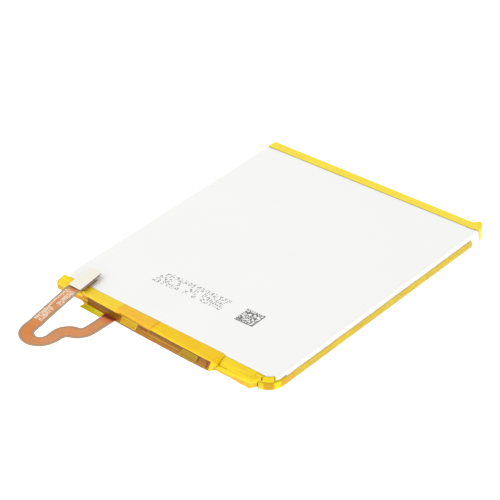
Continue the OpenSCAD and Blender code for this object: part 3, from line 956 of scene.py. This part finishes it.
def make_board_cover():
    olive, mauve = face_paint(140, 104, 46), face_paint(158, 102, 56)
    dark, pale = face_paint(106, 78, 28), face_paint(250, 220, 110)
    patches = [
        (-21, 20.4, 0.06, 3.9, 0.06, 1.0, BROWN),
        (-21, 20.1, 1.9, 3.9, 0.3, 0.6, face_paint(198, 136, 36)),
        (-21, -7.5, 0.06, 1.1, 0.25, 0.75, olive),
        (-21, -8.0, 1.2, 2.2, 0.3, 0.6, mauve),
        (-1.9, 1.0, 0.45, 1.3, 0.15, 0.9, mauve),
        (1.5, 17.5, 0.3, 0.95, 0.2, 0.7, olive),
        (17.3, 20.3, 0.2, 1.4, 0.25, 0.5, mauve),
        (19.5, 19.8, 0.3, 2.4, 0.1, 0.9, face_paint(112, 66, 24)),
        (-21, 20.1, 2.65, 3.9, 0.12, 0.7, dark),
        # painted shadow of the front crease: a thin dark line just below it
        (-1.0, 19.5, 0.2, 0.34, 0.05, 0.85, dark),
        # painted highlight: a pale line along the front crease
        (-6.8, 18.8, 0.05, 0.16, 0.04, 0.9, pale),
        (-0.5, 11.2, 1.35, 1.5, 0.05, 0.5, pale),
        (16.6, 17.1, 0.2, 1.9, 0.1, 0.8, dark),
        (-22, -18.3, 0.0, 3.9, 0.15, 0.9, paint(238, 190, 52)),
        (-22, -18.3, 0.5, 0.75, 0.08, 0.8, dark),
        (-22, -18.3, 1.5, 1.75, 0.08, 0.8, dark),
        (-21, -8.25, -4, -0.02, 0.4, 0.75, paint(251, 224, 84)),
        (-8.25, 2.1, -4, -0.12, 0.3, 0.6, paint(252, 196, 64)),
    ]
    skin = tape_skin("tape_cover", paint(253, 216, 66), paint(249, 200, 54), COVER_RIM,
                     patches=patches, roughness=0.26, gloss=0.12)

    def bends(u):
        back = 2.62 + 0.0347 * (u + 15.35) + 0.06 * wave(u, 0, 30, 0.4)
        foot, top = between(u, LOW_EDGE), between(u, CREASE_Z)
        return [(back, 3.56), (1.2, 3.54), (0.2, 3.5), (0, top), (face(u, 1.9), 1.9),
                (foot, 0.4), (foot + 0.25, 0.03), (foot + 0.6, 0), (3.5, 0)]

    def slope_down(t, spot):
        """At its right end the cover slopes down onto the next tape."""
        v = between(t, [(0, 3.4), (0.12, 2.6), (0.33, 1.4), (0.42, 1.05), (0.62, 1.05), (0.7, 1.5),
                        (1, 3.4)])
        z = between(t, [(0, 3.46), (0.12, 3.25), (0.33, 2.13), (0.42, 1.5), (0.62, 0.3), (0.7, 0.0)])
        return between(t, [(0, 1.3), (0.35, 1.1), (0.6, 0.6), (1, 0.6)]), (v, z)

    def cover_ends(t):
        return -19.95, 19.95 + between(t, [(0, 0.9), (0.37, 0.9), (0.62, 0.0)])

    lay_tape("board_cover", "tape_over_board", ["board_cover_tape"], COVER, cover_ends, bends, 3, skin,
             radius=0.16, fine=0.1, close=(folded_in, slope_down),
             bump=lambda u, w: 0.03 * wave(u, w * 2, 32, 0.7) + 0.015 * wave(u, w * 5, 33, 1.3))


def make_root_patch():
    skin = tape_skin("tape_patch", paint(253, 204, 64), paint(250, 190, 54), COVER_RIM,
                     patches=[(-9, 3, 0.1, 3, 0.1, 0.7, BROWN)])

    def bends(u):
        return [(2.98 + 0.02 * u, 3.62), (0.25, 3.59), (-0.07, between(u, CREASE_Z) + 0.02),
                (face(u, 2.75) - 0.09, 2.75)]

    lay_tape("root_patch", "tape_orange", ["root_tape_patch"], COVER, lambda t: (-8.85, 2.15), bends, 2,
             skin, radius=0.14, fine=0.1, bump=lambda u, w: 0.02 * wave(u, w * 2, 35, 0.8))


def make_window(name, slot, ends, high, low, skin):
    """A lighter piece on the cover's upright face, where the fold of a tab shows."""
    def bends(u):
        middle = (high + low) / 2
        return [(face(u, high) - 0.07, high), (face(u, middle) - 0.09, middle),
                (face(u, low) - 0.12, low), (face(u, low) - 0.32, low - 0.22)]

    lay_tape(name, slot, (), COVER, ends, bends, 0, skin, thickness=0.05, radius=0.1, fine=0.08)


def make_windows():
    # The pale colour of the window's cut edges is a painted highlight along its raised lower edge.
    golden = tape_skin("tape_window", face_paint(236, 192, 44), face_paint(214, 168, 36),
                       face_paint(255, 232, 110), streak=0.8, rim_mm=0.22, gloss=0.12)
    make_window("cover_window_left", "tape_yellow", lambda t: (-6.7 - 0.7 * t, -1.9 - 0.5 * t),
                2.65, 1.2, golden)
    # Here too the pale cut edges are a painted highlight along the raised lower edge.
    green = tape_skin("tape_window_olive", face_paint(196, 160, 44), face_paint(178, 142, 34),
                      face_paint(232, 198, 80), streak=0.8, rim_mm=0.2, gloss=0.12)
    make_window("cover_window_right", "tape_green", lambda t: (12.4 - 1.4 * t, 17.0 - 0.9 * t),
                2.7, 1.1, green)


def make_flap():
    """The loose end of tape beside the tail's root."""
    lime = tape_skin("tape_flap", paint(236, 226, 56), paint(222, 208, 46), paint(170, 158, 44),
                     streak=0.8, rim_mm=0.14)
    lay_tape("flap", "tape_green", ["tape_flap"], COVER, lambda t: (-19.1 - 0.6 * t, -12.7 - 0.5 * t),
             lambda u: [(0.08, 0.75), (-0.1, 0.6), (-0.5, 0.35), (-1.43, 0.2)], 0, lime,
             radius=0.2, fine=0.1, bump=lambda u, w: 0.03 * wave(u, w, 40, 0.9))


# ---------------- connector end
PLATE_W, PLATE_L, PLATE_LOW, PLATE_TOP = 3.3, 8.7, 4.7, 4.9
# Rise per millimetre across the plate, and where across it the plate keeps its height
PLATE_TILT, PLATE_HINGE = 0.158, 1.2


def make_plate():
    """The stiffener: a pale laminate with brown cut edges, tilted about its long axis."""
    shape = []
    for right, far, radius, first in ((1, 0, 0.4, -90), (1, 1, 0.55, 0), (0, 1, 1.0, 90), (0, 0, 0.4, 180)):
        cx = (PLATE_W / 2 - radius) * (1 if right else -1)
        cy = PLATE_L - radius if far else radius
        for k in range(7):
            a = math.radians(first + 15 * k)
            shape.append((cx + radius * math.cos(a), cy + radius * math.sin(a)))
    bm = bmesh.new()
    rings = [(1.0, PLATE_LOW), (1.0, PLATE_TOP - 0.035), (0.985, PLATE_TOP), (0.8, PLATE_TOP),
             (0.4, PLATE_TOP)]
    loops = []
    for share, z in rings:
        loop = []
        for x, y in shape:
            u = x * share
            v = PLATE_L / 2 + (y - PLATE_L / 2) * (1 - (1 - share) * 0.44)
            loop.append(bm.verts.new(HEAD(u, v, z + (PLATE_HINGE - u) * PLATE_TILT)))
        loops.append(loop)
    for low, high in zip(loops, loops[1:]):
        walls(bm, low, high)
    bm.faces.new(list(reversed(loops[0])))
    bm.faces.new(loops[-1])
    for facet in bm.faces:
        facet.normal_update()
    bmesh.ops.recalc_face_normals(bm, faces=bm.faces)
    for facet in bm.faces:
        facet.material_index = 0 if facet.normal.z > 0.6 else 1
    top = material("plate_face", paint(243, 238, 226, TOP_LEVEL), 0.38, mottle=(0.7, 0.02),
                   grain=(5, 0.004), stretch=(1, 0.15, 1))
    edge = material("plate_edge", paint(88, 52, 38), 0.55, mottle=(3, 0.1))
    mesh = closed_mesh("plate", bm, top, edge)
    new_piece("plate", mesh, "connector_end", ["stiffener_plate"])


LEADS, LEAD_PITCH, LEAD_MIDDLE = 9, 0.55, 4.1
LEAD_W, LEAD_T = 0.26, 0.12
LEAD_PATH = [(1.05, 4.42), (1.42, 4.42), (1.62, 4.05), (1.9, 3.98)]


def make_contacts():
    """Two rows of bent leads that stand out from under the plate."""
    gold = material("contact_gold", paint(206, 160, 96), 0.3, 0.9, (4, 0.1), (10, 0.002))
    pairs = []
    for side in (-1, 1):
        for k in range(LEADS):
            v = LEAD_MIDDLE + LEAD_PITCH * (k - (LEADS - 1) / 2) - LEAD_W / 2
            for (u0, z0), (u1, z1) in zip(LEAD_PATH, LEAD_PATH[1:]):
                corners = [(u0, v, z0), (u0, v + LEAD_W, z0), (u1, v + LEAD_W, z1), (u1, v, z1)]
                pairs.append(([HEAD(side * a, b, z) for a, b, z in corners],
                              [HEAD(side * a, b, z + LEAD_T) for a, b, z in corners]))
    mesh = slabs_mesh("contact_leads", pairs, gold)
    new_piece("contact_leads", mesh, "connector_end", ["connector_contacts"])


# ---------------- carried-over CAD nodes
# Node, colour on screen, roughness, metallic, mottle, and its grain where it isn't the usual one
CAD_SKINS = [
    ("cathode_sheets", (58, 58, 60), 0.8, 0, (2, 0.1)),
    ("anode_sheets", (44, 42, 42), 0.7, 0, (2, 0.1)),
    ("separator_sheets", (240, 240, 236), 0.55, 0, (1, 0.03)),
    ("cathode_foil_tails", (205, 206, 208), 0.3, 1, (1, 0.05), (9, 0.004)),
    ("anode_foil_tails", (214, 140, 96), 0.3, 1, (1, 0.06), (9, 0.004)),
    ("positive_tab", (208, 209, 210), 0.32, 1, (0.8, 0.05), (6, 0.004)),
    ("negative_tab", (190, 186, 176), 0.3, 1, (0.8, 0.05), (6, 0.004)),
    ("positive_tab_sealant", (226, 222, 206), 0.45, 0, (2, 0.05)),
    ("negative_tab_sealant", (226, 222, 206), 0.45, 0, (2, 0.05)),
    ("board_foam_strip", (60, 66, 68), 0.95, 0, (5, 0.15), (12, 0.03)),
    ("protection_board", (32, 92, 62), 0.4, 0, (2, 0.1)),
    ("nickel_pads", (192, 188, 178), 0.3, 1, (2, 0.05), (8, 0.003)),
    ("mosfet_pair", (38, 38, 40), 0.5, 0, (4, 0.1)),
    ("protection_ic", (42, 42, 44), 0.5, 0, (4, 0.1)),
    ("thermal_fuse", (196, 170, 120), 0.5, 0, (3, 0.08)),
    ("thermistor", (60, 66, 74), 0.5, 0, (5, 0.08)),
    ("chip_passives", (176, 140, 96), 0.5, 0, (5, 0.1)),
    ("board_spacer_pad", (120, 120, 122), 0.9, 0, (3, 0.1), (10, 0.02)),
    ("connector_body", (74, 54, 40), 0.45, 0, (3, 0.08)),
    ("connector_clips", (214, 190, 130), 0.28, 1, (3, 0.06), (10, 0.002)),
]


def coat_cad_nodes():
    skins = {"pouch_lower_film": film_skin("film_lower", paint(238, 239, 238), 0.42)}
    for node, colour, roughness, metallic, mottle, *grain in CAD_SKINS:
        coat = 0.4 if node == "protection_board" else 0.0
        skins[node] = material("skin_" + node, paint(*colour), roughness, metallic, mottle, *grain,
                               coat=coat)
    for node, skin in skins.items():
        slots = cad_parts[node].data.materials
        slots.clear()
        slots.append(skin)


# ---------------- the scene
make_camera()
root_leg, return_leg, tail_marks = make_tail()
make_studio()
make_plate()
make_contacts()
coat_cad_nodes()
make_pouch()
make_marks()
make_side_tapes()
make_far_tape()
make_left_tape()
make_right_tape()
make_corner_strip()
make_board_cover()
make_root_patch()
make_windows()
make_flap()

[p * MM for p in CENTRE[:SPLIT * PER_SPAN + 1]]
